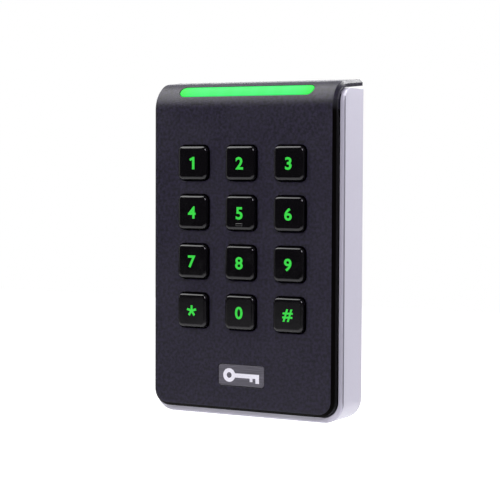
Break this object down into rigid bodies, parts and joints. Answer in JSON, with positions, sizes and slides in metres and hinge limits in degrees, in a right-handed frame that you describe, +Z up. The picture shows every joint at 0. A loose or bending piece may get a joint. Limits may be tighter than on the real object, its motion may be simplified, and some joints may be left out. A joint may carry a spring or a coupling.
{
  "type": "keypad access reader",
  "caption": "Wall-mounted access reader with a rolled black cover, a silver housing, a lit status bar and separate spring-back keys on a wall plate.",
  "frame": {"origin": "middle of the housing's outline on the wall plane, at the back face of the mounting plate", "axes": "+X to the right seen from the front, +Y into the wall, +Z up"},
  "size_m": [0.08, 0.0218, 0.1253],
  "materials": {
    "front_cover": "black satin moulding with a fine texture",
    "housing": "silver fine-grained finish",
    "light_bar": "lit green diffuser",
    "badge": "dark grey smooth plate",
    "keycap": "gloss black with a lit green legend",
    "mounting_plate": "zinc plated sheet",
    "steel_hardware": "plated steel",
    "security_screw": "stainless steel",
    "seal_rubber": "black soft rubber",
    "brass": "turned brass",
    "circuit_board": "green solder mask",
    "keypad_mat": "translucent silicone",
    "carbon": "carbon contact",
    "gold_pad": "gold plated pad",
    "lamp": "clear lamp package",
    "light_guide": "clear acrylic",
    "antenna_frame": "natural nylon",
    "copper": "enamelled copper wire",
    "ferrite": "dark grey ferrite",
    "chip_resin": "black moulded resin",
    "capacitor_can": "aluminium can",
    "terminal_block": "green moulded block",
    "terminal_screws": "plated steel"
  },
  "bodies": {
    "reader": {"front_cover": "front_cover", "housing": "housing", "light_bar": "light_bar", "badge": "badge", "mounting_plate": "mounting_plate", "plate_nut": "steel_hardware", "security_screw": "security_screw", "wall_seal": "seal_rubber", "cover_seal": "seal_rubber", "cover_inserts": "brass", "cover_screws": "steel_hardware", "main_board": "circuit_board", "board_screws": "steel_hardware", "keypad_mat": "keypad_mat", "carbon_pills": "carbon", "contact_pads": "gold_pad", "key_leds": "lamp", "light_guide": "light_guide", "bar_leds": "lamp", "led_board": "circuit_board", "antenna_frame": "antenna_frame", "antenna_coil": "copper", "ferrite_sheet": "ferrite", "processor_chip": "chip_resin", "radio_chip": "chip_resin", "interface_chips": "chip_resin", "power_inductor": "ferrite", "capacitors": "capacitor_can", "sounder": "chip_resin", "tamper_sensor": "chip_resin", "terminal_block": "terminal_block", "terminal_screws": "terminal_screws", "cable_grommet": "seal_rubber"},
    "key_1": {"keycap_1": "keycap"},
    "key_2": {"keycap_2": "keycap"},
    "key_3": {"keycap_3": "keycap"},
    "key_4": {"keycap_4": "keycap"},
    "key_5": {"keycap_5": "keycap"},
    "key_6": {"keycap_6": "keycap"},
    "key_7": {"keycap_7": "keycap"},
    "key_8": {"keycap_8": "keycap"},
    "key_9": {"keycap_9": "keycap"},
    "key_star": {"keycap_star": "keycap"},
    "key_0": {"keycap_0": "keycap"},
    "key_hash": {"keycap_hash": "keycap"}
  },
  "joints": [
    {"name": "key_1_press", "type": "slide", "parent": "reader", "child": "key_1", "axis": [0, 1, 0], "range_m": [0, 0.0009], "stiffness_N_per_m": 1200, "springref_m": -0.0002, "deforming": ["keypad_mat", "carbon_pills"]},
    {"name": "key_2_press", "type": "slide", "parent": "reader", "child": "key_2", "axis": [0, 1, 0], "range_m": [0, 0.0009], "stiffness_N_per_m": 1200, "springref_m": -0.0002, "deforming": ["keypad_mat", "carbon_pills"]},
    {"name": "key_3_press", "type": "slide", "parent": "reader", "child": "key_3", "axis": [0, 1, 0], "range_m": [0, 0.0009], "stiffness_N_per_m": 1200, "springref_m": -0.0002, "deforming": ["keypad_mat", "carbon_pills"]},
    {"name": "key_4_press", "type": "slide", "parent": "reader", "child": "key_4", "axis": [0, 1, 0], "range_m": [0, 0.0009], "stiffness_N_per_m": 1200, "springref_m": -0.0002, "deforming": ["keypad_mat", "carbon_pills"]},
    {"name": "key_5_press", "type": "slide", "parent": "reader", "child": "key_5", "axis": [0, 1, 0], "range_m": [0, 0.0009], "stiffness_N_per_m": 1200, "springref_m": -0.0002, "deforming": ["keypad_mat", "carbon_pills"]},
    {"name": "key_6_press", "type": "slide", "parent": "reader", "child": "key_6", "axis": [0, 1, 0], "range_m": [0, 0.0009], "stiffness_N_per_m": 1200, "springref_m": -0.0002, "deforming": ["keypad_mat", "carbon_pills"]},
    {"name": "key_7_press", "type": "slide", "parent": "reader", "child": "key_7", "axis": [0, 1, 0], "range_m": [0, 0.0009], "stiffness_N_per_m": 1200, "springref_m": -0.0002, "deforming": ["keypad_mat", "carbon_pills"]},
    {"name": "key_8_press", "type": "slide", "parent": "reader", "child": "key_8", "axis": [0, 1, 0], "range_m": [0, 0.0009], "stiffness_N_per_m": 1200, "springref_m": -0.0002, "deforming": ["keypad_mat", "carbon_pills"]},
    {"name": "key_9_press", "type": "slide", "parent": "reader", "child": "key_9", "axis": [0, 1, 0], "range_m": [0, 0.0009], "stiffness_N_per_m": 1200, "springref_m": -0.0002, "deforming": ["keypad_mat", "carbon_pills"]},
    {"name": "key_star_press", "type": "slide", "parent": "reader", "child": "key_star", "axis": [0, 1, 0], "range_m": [0, 0.0009], "stiffness_N_per_m": 1200, "springref_m": -0.0002, "deforming": ["keypad_mat", "carbon_pills"]},
    {"name": "key_0_press", "type": "slide", "parent": "reader", "child": "key_0", "axis": [0, 1, 0], "range_m": [0, 0.0009], "stiffness_N_per_m": 1200, "springref_m": -0.0002, "deforming": ["keypad_mat", "carbon_pills"]},
    {"name": "key_hash_press", "type": "slide", "parent": "reader", "child": "key_hash", "axis": [0, 1, 0], "range_m": [0, 0.0009], "stiffness_N_per_m": 1200, "springref_m": -0.0002, "deforming": ["keypad_mat", "carbon_pills"]}
  ]
}
